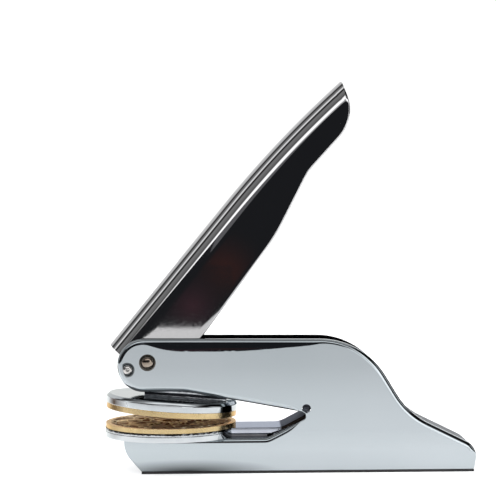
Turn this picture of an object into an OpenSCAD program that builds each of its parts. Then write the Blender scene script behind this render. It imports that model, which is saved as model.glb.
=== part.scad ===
// Desk seal embosser: a lever squeezes paper between two round brass dies.
// x runs from the nose to the tail, y goes across the body and z goes up from the table.
// Places along x count from the axis of the dies until the whole part is centred.
// The part is drawn open: lever up, upper die lifted by its leaf springs.

/* [Dies] */
// Diameter of the two brass die plates
die_d = 44; // [40:1:46]
// Thickness of the lower die plate
lower_die_t = 1.5; // [1.2:0.1:2]
// Thickness of the upper die plate
upper_die_t = 1.8; // [1.2:0.1:2.2]
// Depth of the engraved ornament
engraving_t = 0.3; // [0.2:0.05:0.5]
// Number of petals in the ornament
petal_count = 12; // [8:1:16]
// Paper thickness left between the closed dies
paper_gap = 0.1; // [0.05:0.05:0.3]

/* [Die holders] */
// How far a holder stands out round its die
holder_lip = 0.25; // [0.1:0.05:0.6]
// Thickness of the lower holder
lower_holder_t = 3; // [2.6:0.1:3.6]
// Thickness of the upper holder
upper_holder_t = 3.1; // [2.6:0.1:3.6]
// Chamfer round the top of the upper holder
holder_chamfer = 0.9; // [0.4:0.1:1.2]
// Width of the groove round the lower holder's rim
rim_groove_w = 0.3; // [0.2:0.1:0.6]
// Depth of the groove round the lower holder's rim
rim_groove_t = 0.25; // [0.1:0.05:0.5]

/* [Leaf springs] */
// Thickness of one leaf
leaf_t = 0.8; // [0.6:0.05:0.9]
// Air between the leaves' edges and the side plates
leaf_air = 1.05; // [0.8:0.05:2]
// How far the leaves reach ahead of the die axis
leaf_front = 9.1; // [7.8:0.1:12]
// How far the short leaves reach behind the die axis
short_leaf_back = 19; // [14:0.5:19]
// How much shorter each short leaf is than the one above it
leaf_step = 0.5; // [0:0.05:0.8]
// Angle that the open upper die stands up at
open_tilt = 4.4; // [3.5:0.1:5]
// Angle that the long leaves slope down to the heel at
heel_tilt = 11; // [10:0.5:12]
// Where the open long leaves bend, behind the die axis
leaf_bend_x = 21.5; // [20.5:0.5:24]
// Radius of that bend
leaf_bend_r = 36; // [20:2:40]
// Where the springing leaves turn about, behind the die axis
hinge_x = 47; // [44:0.5:50]
// How far that point is below the long leaves over the closed dies
hinge_drop = 7.4; // [4:0.1:9]
// Diameter of the rivets that hold the upper holder
rivet_d = 3; // [2.4:0.1:3.4]
// Diameter of the rivets' heads
rivet_head_d = 5; // [4.4:0.1:5.4]
// Height of the rivets' heads
rivet_head_t = 1; // [0.6:0.1:1.4]
// Distance from the die axis to each rivet
rivet_x = 4.4; // [4:0.1:5]

/* [Lower arm] */
// Air between the lower arm's edges and the side plates
arm_air = 0.8; // [0.5:0.05:1.8]
// Thickness of the lower arm
arm_t = 2.2; // [1.8:0.1:2.4]
// How far the arm reaches ahead of the die axis
arm_front = 9; // [6:0.1:12]
// Where the arm starts to rise, behind the die axis
ramp_foot_x = 37; // [34:0.5:39]
// Where the arm meets the leaves, behind the die axis
crotch_x = 48.2; // [46:0.1:50]
// Radius of the arm's bend at the foot of the rise
ramp_foot_r = 8; // [4:0.5:10]
// Radius of the arm's bend at the top of the rise
ramp_top_r = 5; // [4:0.5:7]

/* [Heel clamp] */
// Length of the heel where leaves and arm are clamped
heel_l = 11; // [9:0.5:13]
// Thickness of the clamp plate on top of the leaves
heel_cap_t = 1.5; // [1:0.1:2.5]
// Diameter of the clamp screws
heel_screw_d = 3; // [2.5:0.1:3.5]
// Distance of the clamp screws from the leaves' edges
heel_screw_inset = 3.75; // [3.3:0.05:4]
// Diameter of the clamp screws' heads
heel_head_d = 5.2; // [4.6:0.1:5.8]
// Height of the clamp screws' heads
heel_head_t = 1.6; // [1:0.1:2]
// How deep the clamp screws reach into the block
heel_screw_grip = 6; // [4:0.5:8]

/* [Side plates] */
// Width over the two side plates
body_w = 23.4; // [21.6:0.1:26]
// Thickness of a side plate
plate_t = 2.4; // [1.8:0.1:2.6]
// Height of the lower jaws that carry the lower holder
jaw_z = 11.7; // [10.8:0.1:13]
// How far the jaws reach ahead of the die axis
jaw_tip = 15.2; // [12:0.1:18]
// Height where the jaws' front starts to slope back
jaw_chin_z = 7.4; // [6.8:0.1:8.6]
// How far the foot of the jaws is ahead of the die axis
jaw_foot = 9.4; // [8.4:0.1:11]
// Radius of the jaws' chin
jaw_chin_r = 8.6; // [3:0.1:8.6]
// Radius of the jaws' upper front corner
jaw_tip_r = 0.6; // [0.3:0.1:1.5]
// Air between the raised upper holder and the nose
nose_air = 1.75; // [1.4:0.05:4]
// How far the centre of the round nose is ahead of the die axis
nose_x = 8.48; // [7.8:0.02:9.6]
// Radius of the nose
nose_r = 8.85; // [8.4:0.05:9.6]
// How much lower the back of the top edge is than the nose
top_fall = 0.6; // [0:0.05:2]
// Where the top edge would meet the back, behind the die axis
hump_x = 64.5; // [60:0.5:68]
// Radius of the hump
hump_r = 25.6; // [15:0.1:27]
// Where the back would meet the tail's slope, behind the die axis
waist_x = 79.5; // [76:0.5:82]
// Height of that corner
waist_z = 19.4; // [17:0.1:22]
// Radius of the hollow there
waist_r = 24.6; // [10:0.1:26]
// Where the tail's slope would meet its end, behind the die axis
tail_x = 102.5; // [97:0.5:110]
// Height of the tail's corner
tail_z = 8.1; // [6.6:0.1:10]
// Radius of the tail's corner
tail_r = 5.2; // [1:0.1:5.6]
// How much the tail's foot is set in under its corner
tail_tuck = 1.4; // [0:0.1:3]
// Radius of the tail's foot
tail_foot_r = 0.5; // [0.3:0.1:1]
// Where the throat's upper edge starts to fall, behind the die axis
throat_bend_x = 4.9; // [2:0.1:8]
// Radius of that bend
throat_bend_r = 15; // [10:1:20]
// Where the throat's two edges would meet, behind the die axis
throat_back_x = 48.2; // [46:0.1:50]
// How far that point is below the long leaves
throat_drop = 0.9; // [0.4:0.1:1.2]
// Radius of the throat's back
throat_back_r = 1.4; // [1:0.1:1.6]
// Where the throat's lower edge starts to rise, behind the die axis
throat_foot_x = 32.4; // [30:0.1:34]
// Radius of that bend
throat_foot_r = 5; // [1:0.5:8]
// Radius of the notch at the back of the throat
notch_r = 1.5; // [1:0.1:1.6]

/* [Rear spine] */
// Thickness of the spine between the side plates
spine_t = 2.3; // [1.5:0.1:3]
// Height of the spine's upper end
spine_top_z = 30.5; // [26:0.5:31]

/* [Base] */
// Thickness of the rubber pad
pad_t = 0.8; // [0.5:0.1:2]
// Thickness of the steel base plate
base_t = 1.2; // [1:0.1:2]
// Diameter of the base screws
base_screw_d = 3; // [2.5:0.1:3.5]
// Diameter of the base screws' sunk heads
base_head_d = 5.4; // [4.8:0.1:6.4]
// How deep the base screws reach into the blocks
base_screw_grip = 6; // [4:0.5:8]

/* [Lever] */
// Angle of the open lever above the table
lever_open = 50; // [44:1:55]
// Angle of the pressed lever above the table
lever_closed = 2; // [1:0.5:6]
// Thickness of the lever's sheet
lever_t = 1.5; // [1.2:0.1:2]
// Length of the lever from its pivot to its tip
lever_l = 113.3; // [105:0.1:120]
// Height of the lever's crown above its pivot
crown_z = 13.6; // [12.8:0.1:15]
// Angle that the crown rises at, from its heel to where it bends down
crown_rise = 0.55; // [0:0.05:1]
// Radius of the crown's shoulders
crown_r = 7; // [5:0.1:7.4]
// Where the crown starts to bend down, from the pivot
droop_x = 57; // [50:1:66]
// Radius of that bend
droop_r = 370; // [240:10:420]
// Radius of the tip's corners seen from above
tip_r = 5; // [3:0.5:6]
// Depth of the lever's sides below its pivot, near the pivot
cheek_z = 9.3; // [8:0.1:9.4]
// How far from the pivot the sides start to narrow
cheek_x = 59.7; // [55:0.1:64]
// Depth of the lever's sides there
cheek_end_z = 6.1; // [4:0.1:7]
// Radius of the sides' bend there
cheek_r = 60; // [40:5:80]
// Where the narrow grip starts, from the pivot
grip_x = 83; // [78:0.5:88]
// Depth of the lever's sides at the grip
grip_z = 0.8; // [-1:0.1:3]
// Radius of the hollow where the grip starts
grip_r = 15; // [10:1:20]
// Depth of the lever's sides at the tip
tip_z = 1.8; // [0.4:0.1:3]
// How far before the tip the sides sweep up
tip_sweep_x = 5.9; // [5:0.1:7]
// Radius of that sweep
tip_sweep_r = 14; // [10:0.5:15]

/* [Pins] */
// How far the lever's pivot is ahead of the die axis
pivot_x = 7.22; // [6.4:0.02:8]
// How much the pivot is above the centre of the nose
pivot_rise = 0.94; // [0.4:0.02:1.4]
// Diameter of the pivot pin
pivot_d = 3.4; // [3:0.1:3.7]
// Diameter of the pivot pin's domed heads
pivot_head_d = 4; // [3.8:0.1:4.6]
// Diameter of the sinks round the pivot pin's heads
pivot_sink_d = 5.6; // [5.2:0.1:6.4]
// Diameter of the sleeve on the pivot pin
pivot_sleeve_d = 6.4; // [5.4:0.1:7]
// Diameter of the washers on the pivot pin
washer_d = 9; // [8:0.5:10]
// Thickness of the washers between the lever and the side plates
washer_t = 0.3; // [0.2:0.05:0.6]
// How far the stop pin is ahead of the die axis
stop_x = 13.86; // [13.4:0.02:14.2]
// How much the stop pin is below the centre of the nose
stop_drop = 1.43; // [0.8:0.01:2]
// Diameter of the stop pin
stop_d = 2.5; // [2:0.1:2.7]
// Diameter of the sleeve on the stop pin
stop_sleeve_d = 3.8; // [3.4:0.1:4.2]
// Diameter of the stop pin's heads
stop_head_d = 3.2; // [3:0.1:3.6]
// Diameter of the sinks round the stop pin's heads
stop_sink_d = 4.9; // [4.2:0.1:5.2]
// How far the pins' domed heads stand out of the side plates
head_out = 0.4; // [0.2:0.1:0.8]

/* [Clearances] */
// Radial clearance of a shaft in a hole
run_clear = 0.05; // [0.02:0.01:0.09]
// Clearance between pieces that are only set together
seat_clear = 0.1; // [0.05:0.01:0.15]
// Radial clearance round a screw or rivet that passes through
screw_clear = 0.2; // [0.1:0.05:0.4]
// Clearance between a washer and what runs beside it
washer_clear = 0.05; // [0.03:0.01:0.1]

/* [Hidden] */
$fn = 96;
arc_step = 4;
long_leaf_count = 2;
short_leaf_count = 3;
cut = 1;

// Heights of the stack, dies closed
holder_d = die_d + 2 * holder_lip;
lower_die_z = jaw_z + lower_holder_t;
upper_die_z = lower_die_z + lower_die_t + paper_gap;
upper_holder_z = upper_die_z + upper_die_t;
pack_z = upper_holder_z + upper_holder_t;
long_leaf_z = pack_z + short_leaf_count * leaf_t;
pack_t = (short_leaf_count + long_leaf_count) * leaf_t;
arm_z = lower_die_z - arm_t;
hinge = [hinge_x, long_leaf_z - hinge_drop];

// Lies between the side plates
gap_w = body_w - 2 * plate_t;
arm_w = gap_w - 2 * arm_air;
leaf_w = gap_w - 2 * leaf_air;
lever_w = gap_w - 2 * (washer_t + 2 * washer_clear);
floor_z = pad_t + base_t;

// A point of the closed upper arm, where it is when the press is open
function opened(p) = hinge + turned(p - hinge, -open_tilt);

// Lower line of the long leaves: over the dies, then down to the crotch where they meet the arm
bend = opened([leaf_bend_x, long_leaf_z]);
function leaf_line_z(x) = bend[1] - (x - bend[0]) * tan(heel_tilt);
crotch = [crotch_x, leaf_line_z(crotch_x)];

// A point of the heel, counted from the crotch along the leaves and up from their lower line
function on_heel(p) = crotch + turned(p, -heel_tilt);
leaf_front_end = opened([-leaf_front, long_leaf_z]);
heel_end = on_heel([heel_l, 0]);
leaf_path = [
    [leaf_front_end[0], leaf_front_end[1], 0],
    [bend[0], bend[1], leaf_bend_r],
    [heel_end[0], heel_end[1], 0]
];

// Side plates
nose_z = opened([-nose_x, pack_z])[1] + nose_air + nose_r;
top_z = nose_z + nose_r;
hump_z = top_z - top_fall;
throat_back = [throat_back_x, leaf_line_z(throat_back_x) - throat_drop];
throat_foot = [throat_foot_x, jaw_z];
nose_arc_r = 0.99 * nose_r;
plate_corners = [
    [-jaw_foot, pad_t, 0],
    [tail_x - tail_tuck, pad_t, tail_foot_r],
    [tail_x, tail_z, tail_r],
    [waist_x, waist_z, waist_r],
    [hump_x, hump_z, hump_r],
    [-nose_x - nose_r, top_z, nose_arc_r],
    [-nose_x - nose_r, nose_z - nose_r, nose_arc_r],
    [throat_bend_x, nose_z - nose_r, throat_bend_r],
    [throat_back[0], throat_back[1], throat_back_r],
    [throat_foot[0], throat_foot[1], throat_foot_r],
    [-jaw_tip, jaw_z, jaw_tip_r],
    [-jaw_tip, jaw_chin_z, jaw_chin_r]
];

// The notch opens into the throat's upper edge, near its back
throat_angle = atan2(throat_back[1] - throat_foot[1], throat_back[0] - throat_foot[0]);
notch_offset = notch_r + 1.3;
notch_reach = 1.7;
notch = throat_back - notch_reach * [cos(throat_angle), sin(throat_angle)]
    + notch_offset * [-sin(throat_angle), cos(throat_angle)];

// Outer line of the spine, from its foot up the tail and the back
spine_angle = atan2(hump_z - waist_z, hump_x - waist_x);
spine_reach = (spine_top_z - waist_z) / sin(spine_angle);
spine_path = [
    [tail_x - tail_tuck, pad_t, 0],
    [tail_x, tail_z, tail_r],
    [waist_x, waist_z, waist_r],
    [waist_x + spine_reach * cos(spine_angle), spine_top_z, 0]
];

spine_foot_l = 20;

// Upper line of the lower arm, from its front to its heel
arm_path = [
    [-arm_front, lower_die_z, 0],
    [ramp_foot_x, lower_die_z, ramp_foot_r],
    [crotch[0], crotch[1], ramp_top_r],
    [heel_end[0], heel_end[1], 0]
];

// Pins
pivot = [-pivot_x, nose_z + pivot_rise];
stop = [-stop_x, nose_z - stop_drop];
stop_from_pivot = turned(stop - pivot, -lever_open);
heel_u = stop_from_pivot[0] + stop_sleeve_d / 2 + seat_clear / 2;

// The lever's cams: seen from the lever, the top of the leaves swings from cam_open to cam_closed
// while it moves steadily away from the pivot, so each cam is an involute.
cam_open = 90 + lever_open + open_tilt;
cam_closed = 90 + lever_closed;
pack_top_z = pack_z + pack_t;
cam_far = pivot[1] - pack_top_z - run_clear;
cam_near = (pivot - hinge) * [sin(open_tilt), cos(open_tilt)] - (pack_top_z - hinge[1]) - run_clear;
cam_rate = (cam_near - cam_far) / ((cam_open - cam_closed) * PI / 180);
cam_lead = 20;
sweep_spare = 10;
cam_steps = 18;
hub_r = cam_near - 0.6;
lobe_x = 0.65 * cheek_z;
lobe_flat = 0.16 * cheek_z;
lobe_runout = 0.97 * cheek_z;
lever_over = 2;

// Lower edge of the lever's sides and its tip, seen from the side with the pivot at the origin
lever_corners = [
    [heel_u - cut, 2 * crown_z, 0],
    [heel_u - cut, 0, 0],
    [0, -hub_r / 2, 0],
    [lobe_x, -cheek_z, 0],
    [cheek_x, -cheek_end_z, cheek_r],
    [grip_x, -grip_z, grip_r],
    [lever_l - tip_sweep_x, -tip_z, tip_sweep_r],
    [lever_l + lever_over, crown_z, 0],
    [lever_l + lever_over, 2 * crown_z, 0]
];

// Screws and rivets
heel_front = 1;
heel_screw_l = 0.55 * heel_l;
heel_screw_y = leaf_w / 2 - heel_screw_inset;
heel_screw_hole_l = 40;
base_screw_xs = [2, 22];
screw_hole_spare = 0.5;
heel_base_x = crotch_x + heel_l / 2;
screw_core_clear = 0.02;

// Ornament of the dies
field_r = 0.86 * die_d / 2;
petal_r = 0.5 * field_r;
petal_l = 0.42 * field_r;
petal_w = 0.16 * field_r;
bead_r = 0.035 * die_d / 2;
bead_count = 3 * petal_count;

// The part stands centred on the origin
plate_end = max([for (p = rounded(plate_corners)) p[0]]);
middle_x = (plate_end - holder_d / 2) / 2;

// Turns a point about the origin, from +x towards +z
function turned(p, a) = [p[0] * cos(a) - p[1] * sin(a), p[0] * sin(a) + p[1] * cos(a)];
function flat(c) = [c[0], c[1]];
function heading(a, b) = (b - a) / norm(b - a);
function left_of(d) = [-d[1], d[0]];

// The corner c, met from a and left to b, as points along an arc of radius r
function corner_arc(a, c, b, r) =
    r == 0 ? [c] :
    let (u = heading(c, a), v = heading(c, b))
    let (half = acos(u * v) / 2)
    let (centre = c + (u + v) / norm(u + v) * r / sin(half))
    let (from = c + u * r / tan(half) - centre)
    let (turn = (180 - 2 * half) * sign(cross(v, u)))
    let (steps = max(4, ceil(abs(turn) / arc_step)))
    [for (i = [0:steps]) centre + turned(from, turn * i / steps)];

// A closed outline of corners [x, z, radius]
function rounded(c) = [
    for (i = [0:len(c) - 1])
        let (a = c[(i + len(c) - 1) % len(c)], b = c[(i + 1) % len(c)])
        each corner_arc(flat(a), flat(c[i]), flat(b), c[i][2])
];

// An open line of corners [x, z, radius]
function rounded_line(c) = [
    for (i = [0:len(c) - 1])
        each i == 0 || i == len(c) - 1 ? [flat(c[i])] :
            corner_arc(flat(c[i - 1]), flat(c[i]), flat(c[i + 1]), c[i][2])
];

// The same line, moved d to its left
function beside(c, d) = [
    for (i = [0:len(c) - 1])
        let (m = heading(flat(c[max(i, 1) - 1]), flat(c[max(i, 1)])))
        let (n = heading(flat(c[min(i, len(c) - 2)]), flat(c[min(i, len(c) - 2) + 1])))
        let (p = flat(c[i]) + (left_of(m) + left_of(n)) / (1 + m * n) * d)
        [p[0], p[1], c[i][2] == 0 ? 0 : c[i][2] - d * sign(cross(m, n))]
];

// A strip of thickness t on the left of a line, or on its right where t is negative
function strip(c, t) = concat(
    rounded_line(c),
    [for (i = [1:len(rounded_line(beside(c, t)))])
        rounded_line(beside(c, t))[len(rounded_line(beside(c, t))) - i]]
);

function cam_reach(s) = cam_far + cam_rate * (s - cam_closed) * PI / 180;
function cam_point(s) =
    cam_reach(s) * [cos(s), -sin(s)] + cam_rate * [-sin(s), -cos(s)];

module centred() {
    translate([-middle_x, 0, 0]) children();
}

// Stands a drawing of x and z up between y0 and y1
module across(y0, y1) {
    translate([0, y1, 0]) rotate([90, 0, 0]) linear_extrude(y1 - y0) children();
}

// A rod along y
module rod(p, d, y0, y1) {
    translate([p[0], y1, p[1]]) rotate([90, 0, 0]) cylinder(d = d, h = y1 - y0);
}

// Moves what is drawn closed to its open place
module raised() {
    translate([hinge[0], 0, hinge[1]])
        rotate([0, open_tilt, 0])
            translate([-hinge[0], 0, -hinge[1]]) children();
}

// Moves what is drawn level with its origin at the crotch to its place in the heel
module in_heel() {
    translate([crotch[0], 0, crotch[1]]) rotate([0, heel_tilt, 0]) children();
}

// Moves what is drawn with the lever level and its pivot at the origin to its open place
module on_lever() {
    translate([pivot[0], 0, pivot[1]]) rotate([0, -lever_open, 0]) children();
}

// A sink in the outer face of a side plate, for side 1 or -1
module plate_sink(p, sink_d, hole_d, side) {
    depth = (sink_d - hole_d) / 2;
    translate([p[0], side * body_w / 2, p[1]])
        rotate([side * 90, 0, 0])
            cylinder(d1 = sink_d, d2 = hole_d, h = depth);
}

module side_plate(side) {
    y0 = side > 0 ? body_w / 2 - plate_t : -body_w / 2;
    difference() {
        across(y0, y0 + plate_t) polygon(rounded(plate_corners));
        rod(notch, 2 * notch_r, y0 - cut, y0 + plate_t + cut);
        rod(pivot, pivot_d + 2 * run_clear, y0 - cut, y0 + plate_t + cut);
        rod(stop, stop_d + 2 * run_clear, y0 - cut, y0 + plate_t + cut);
        plate_sink(pivot, pivot_sink_d, pivot_d + 2 * run_clear, side);
        plate_sink(stop, stop_sink_d, stop_d + 2 * run_clear, side);
    }
}

module near_side_plate() {
    color("gainsboro") centred() side_plate(-1);
}

module far_side_plate() {
    color("gainsboro") centred() side_plate(1);
}

module rear_spine() {
    color("gainsboro") centred()
        difference() {
            across(-gap_w / 2, gap_w / 2) polygon(strip(spine_path, spine_t));
            translate([tail_x - spine_foot_l, -gap_w, 0])
                cube([2 * spine_foot_l, 2 * gap_w, floor_z + seat_clear]);
        }
}

// A countersunk hole or screw head from below, its wide end at the bottom of the base plate
module base_head(p, clear) {
    translate([p, 0, pad_t])
        cylinder(d1 = base_head_d + 2 * clear, d2 = base_screw_d + 2 * clear, h = base_t);
}

module base_plate() {
    color("dimgray") centred()
        difference() {
            translate([-jaw_foot, -gap_w / 2 + seat_clear, pad_t])
                cube([tail_x - tail_tuck + jaw_foot - seat_clear, gap_w - 2 * seat_clear, base_t]);
            for (x = concat(base_screw_xs, [heel_base_x])) base_head(x, run_clear);
        }
}

module base_pad() {
    color("black") centred()
        translate([-jaw_foot, -body_w / 2, 0])
            cube([tail_x - tail_tuck + jaw_foot, body_w, pad_t]);
}

module base_screws() {
    color("silver") centred()
        for (x = concat(base_screw_xs, [heel_base_x])) {
            base_head(x, 0);
            translate([x, 0, pad_t + base_t - 0.01])
                cylinder(d = base_screw_d, h = base_screw_grip);
        }
}

module base_screw_hole(x) {
    translate([x, 0, floor_z - cut])
        cylinder(d = base_screw_d + 2 * screw_core_clear, h = base_screw_grip + cut + screw_hole_spare);
}

module die_bed() {
    color("slategray") centred()
        difference() {
            union() {
                translate([-arm_front, -gap_w / 2, floor_z])
                    cube([throat_foot_x + arm_front, gap_w, jaw_z - floor_z]);
                translate([-arm_front, -arm_w / 2, floor_z])
                    cube([throat_foot_x + arm_front, arm_w, arm_z - floor_z]);
            }
            for (x = base_screw_xs) base_screw_hole(x);
        }
}

// Holes for the clamp screws, square to the heel
module heel_screw_holes(d) {
    in_heel()
        for (side = [-1, 1])
            translate([heel_screw_l, side * heel_screw_y, -heel_screw_hole_l / 2])
                cylinder(d = d, h = heel_screw_hole_l);
}

module lower_arm() {
    color("silver") centred()
        difference() {
            across(-arm_w / 2, arm_w / 2) polygon(strip(arm_path, -arm_t));
            heel_screw_holes(heel_screw_d + 2 * screw_clear);
        }
}

module lower_holder() {
    groove_z = jaw_z + 0.6 * lower_holder_t;
    slot_w = arm_w + 2 * seat_clear;
    color("gainsboro") centred()
        difference() {
            translate([0, 0, jaw_z]) cylinder(d = holder_d, h = lower_holder_t);
            translate([-arm_front - seat_clear, -slot_w / 2, jaw_z - cut])
                cube([holder_d + arm_front, slot_w, lower_holder_t + 2 * cut]);
            translate([0, 0, groove_z])
                difference() {
                    cylinder(d = holder_d + 2 * cut, h = rim_groove_w);
                    cylinder(d = holder_d - 2 * rim_groove_t, h = rim_groove_w);
                }
        }
}

// One lens-shaped petal pointing away from the middle
module petal(grow, t) {
    side_r = (petal_l * petal_l + petal_w * petal_w) / (4 * petal_w);
    intersection() {
        translate([petal_r, side_r - petal_w / 2, 0]) cylinder(r = side_r + grow, h = t);
        translate([petal_r, petal_w / 2 - side_r, 0]) cylinder(r = side_r + grow, h = t);
    }
}

// The ornament: a ring of petals in a ring of beads round a boss
module ornament(grow, t) {
    cylinder(r = 0.15 * field_r + grow, h = t);
    for (i = [0:petal_count - 1])
        rotate([0, 0, i * 360 / petal_count]) petal(grow, t);
    for (i = [0:bead_count - 1])
        rotate([0, 0, (i + 0.5) * 360 / bead_count])
            translate([field_r, 0, 0]) cylinder(r = bead_r + grow, h = t, $fn = 24);
}

module lower_die() {
    top = lower_die_z + lower_die_t;
    color("goldenrod") centred()
        difference() {
            translate([0, 0, lower_die_z]) cylinder(d = die_d, h = lower_die_t);
            translate([0, 0, top - engraving_t]) ornament(seat_clear, engraving_t + cut);
        }
}

module upper_die() {
    color("goldenrod") centred() raised() {
        translate([0, 0, upper_die_z]) cylinder(d = die_d, h = upper_die_t);
        translate([0, 0, upper_die_z - engraving_t + paper_gap / 2])
            ornament(0, engraving_t);
    }
}

module upper_holder() {
    color("gainsboro") centred() raised()
        difference() {
            translate([0, 0, upper_holder_z]) {
                cylinder(d = holder_d, h = upper_holder_t - holder_chamfer);
                translate([0, 0, upper_holder_t - holder_chamfer])
                    cylinder(d1 = holder_d, d2 = holder_d - 2 * holder_chamfer, h = holder_chamfer);
            }
            rivet_holes(rivet_d + 2 * screw_core_clear);
        }
}

module rivet_holes(d) {
    for (side = [-1, 1])
        translate([side * rivet_x, 0, upper_holder_z - cut])
            cylinder(d = d, h = upper_holder_t + pack_t + 2 * cut);
}

module upper_rivets() {
    dome_r = (rivet_head_d * rivet_head_d / 4 + rivet_head_t * rivet_head_t) / (2 * rivet_head_t);
    color("silver") centred() raised()
        for (side = [-1, 1])
            translate([side * rivet_x, 0, upper_holder_z]) {
                cylinder(d = rivet_d, h = upper_holder_t + pack_t);
                translate([0, 0, upper_holder_t + pack_t])
                    intersection() {
                        translate([0, 0, rivet_head_t - dome_r]) sphere(r = dome_r);
                        cylinder(d = rivet_head_d, h = rivet_head_t);
                    }
            }
}

// Short leaf number i, counted from below
module short_leaf(i) {
    back = short_leaf_back - (short_leaf_count - i) * leaf_step;
    color("darkslategray") centred() raised()
        difference() {
            translate([-leaf_front, -leaf_w / 2, pack_z + (i - 1) * leaf_t])
                cube([back + leaf_front, leaf_w, leaf_t]);
            rivet_holes(rivet_d + 2 * screw_clear);
        }
}

// Long leaf number i, counted from below
module long_leaf(i) {
    color("darkslategray") centred()
        difference() {
            across(-leaf_w / 2, leaf_w / 2)
                polygon(strip(beside(leaf_path, (i - 1) * leaf_t), leaf_t));
            raised() rivet_holes(rivet_d + 2 * screw_clear);
            heel_screw_holes(heel_screw_d + 2 * screw_clear);
        }
}

module heel_block() {
    front = on_heel([heel_front, -arm_t]);
    back = on_heel([heel_l, -arm_t]);
    hole_end = -arm_t - heel_screw_grip - screw_hole_spare;
    color("slategray") centred()
        difference() {
            across(-gap_w / 2, gap_w / 2)
                polygon([[front[0], floor_z], [back[0], floor_z], back, front]);
            base_screw_hole(heel_base_x);
            in_heel()
                for (side = [-1, 1])
                    translate([heel_screw_l, side * heel_screw_y, hole_end])
                        cylinder(d = heel_screw_d + 2 * screw_core_clear, h = heel_screw_hole_l);
        }
}

module heel_cap() {
    color("slategray") centred()
        difference() {
            in_heel()
                translate([heel_front, -leaf_w / 2, long_leaf_count * leaf_t])
                    cube([heel_l - heel_front, leaf_w, heel_cap_t]);
            heel_screw_holes(heel_screw_d + 2 * screw_clear);
        }
}

module heel_screws() {
    clamp_t = long_leaf_count * leaf_t + heel_cap_t;
    shank_l = clamp_t + arm_t + heel_screw_grip;
    color("silver") centred() in_heel()
        for (side = [-1, 1])
            translate([heel_screw_l, side * heel_screw_y, clamp_t]) {
                translate([0, 0, -shank_l]) cylinder(d = heel_screw_d, h = shank_l);
                difference() {
                    cylinder(d = heel_head_d, h = heel_head_t);
                    translate([0, 0, heel_head_t / 2])
                        cylinder(d = 0.5 * heel_head_d, h = heel_head_t, $fn = 6);
                }
            }
}

// The lever's cross-section, crown up: y goes across and the second coordinate is height
module lever_section(inset) {
    w = lever_w / 2 - inset;
    r = crown_r - inset;
    top = crown_z - inset;
    bottom = -2 * crown_z;
    translate([-w, bottom]) square([2 * w, top - r - bottom]);
    translate([r - w, bottom]) square([2 * (w - r), top - bottom]);
    for (side = [-1, 1])
        translate([side * (w - r), top - r]) circle(r = r);
}

// The section drawn along the lever: straight, then on an arc that droops to the tip
module lever_sweep(inset) {
    start = heel_u - 2 * cut;
    turn = (lever_l + sweep_spare - droop_x) / droop_r * 180 / PI + 1;
    rotate([0, -crown_rise, 0]) {
        translate([start, 0, 0])
            rotate([90, 0, 90]) linear_extrude(droop_x - start) lever_section(inset);
        translate([droop_x, 0, crown_z - droop_r])
            rotate([90, 0, 0])
                rotate_extrude(angle = -turn, start = 91)
                    translate([droop_r - crown_z, 0])
                        rotate([0, 0, -90]) mirror([1, 0]) lever_section(inset);
    }
}

// The lever seen from above, with rounded corners at the tip
module lever_plan(inset) {
    end = lever_l + 0.3 - inset;
    w = lever_w / 2 - inset;
    r = tip_r - inset;
    translate([0, 0, -3 * crown_z])
        linear_extrude(6 * crown_z) {
            translate([heel_u - 2 * cut, -w]) square([end - r - heel_u + 2 * cut, 2 * w]);
            translate([0, r - w]) square([end, 2 * (w - r)]);
            for (side = [-1, 1])
                translate([end - r, side * (w - r)]) circle(r = r);
        }
}

module lever_side() {
    lobe_end = cam_point(cam_closed);
    intersection() {
        union() {
            polygon(rounded(lever_corners));
            circle(r = hub_r);
            polygon(concat(
                [[0, 0]],
                [for (i = [0:cam_steps])
                    cam_point(cam_open + cam_lead - i * (cam_open + cam_lead - cam_closed) / cam_steps)],
                [lobe_end + [lobe_flat, 0], [lobe_end[0] + lobe_runout, -cheek_z], [lobe_x, 0]]
            ));
        }
        translate([heel_u, -3 * crown_z]) square([2 * lever_l, 6 * crown_z]);
    }
}

module lever() {
    color("gainsboro") centred() on_lever()
        difference() {
            intersection() {
                lever_sweep(0);
                across(-lever_w, lever_w) lever_side();
                lever_plan(0);
            }
            intersection() {
                lever_sweep(lever_t);
                lever_plan(lever_t);
            }
            rod([0, 0], pivot_d + 2 * run_clear, -lever_w, lever_w);
        }
}

module pivot_sleeve() {
    sleeve_l = lever_w - 2 * lever_t - 2 * seat_clear;
    color("silver") centred()
        difference() {
            rod(pivot, pivot_sleeve_d, -sleeve_l / 2, sleeve_l / 2);
            rod(pivot, pivot_d + 2 * run_clear, -sleeve_l, sleeve_l);
        }
}

module pivot_washers() {
    y0 = lever_w / 2 + washer_clear;
    y1 = gap_w / 2 - washer_clear;
    color("whitesmoke") centred()
        for (side = [-1, 1])
            difference() {
                rod(pivot, washer_d, side > 0 ? y0 : -y1, side > 0 ? y1 : -y0);
                rod(pivot, pivot_d + 2 * run_clear, -body_w, body_w);
            }
}

// Half of a pin, from the middle of the body out to its head in the sink
module half_pin(d, head_d, sink_d) {
    clear = run_clear + 0.02;
    sink_t = (sink_d - d) / 2 - run_clear;
    head_t = (head_d - d) / 2;
    cylinder(d = d, h = body_w / 2 - sink_t);
    translate([0, 0, body_w / 2 - sink_t])
        intersection() {
            cylinder(d1 = d, d2 = d + 2 * (sink_t - clear), h = sink_t);
            cylinder(d = head_d, h = sink_t);
        }
    translate([0, 0, body_w / 2])
        cylinder(d1 = head_d, d2 = head_d - 2 * head_out, h = head_out);
}

module pivot_pin() {
    color("silver") centred()
        translate([pivot[0], 0, pivot[1]])
            for (side = [-1, 1])
                rotate([side * 90, 0, 0]) half_pin(pivot_d, pivot_head_d, pivot_sink_d);
}

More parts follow.
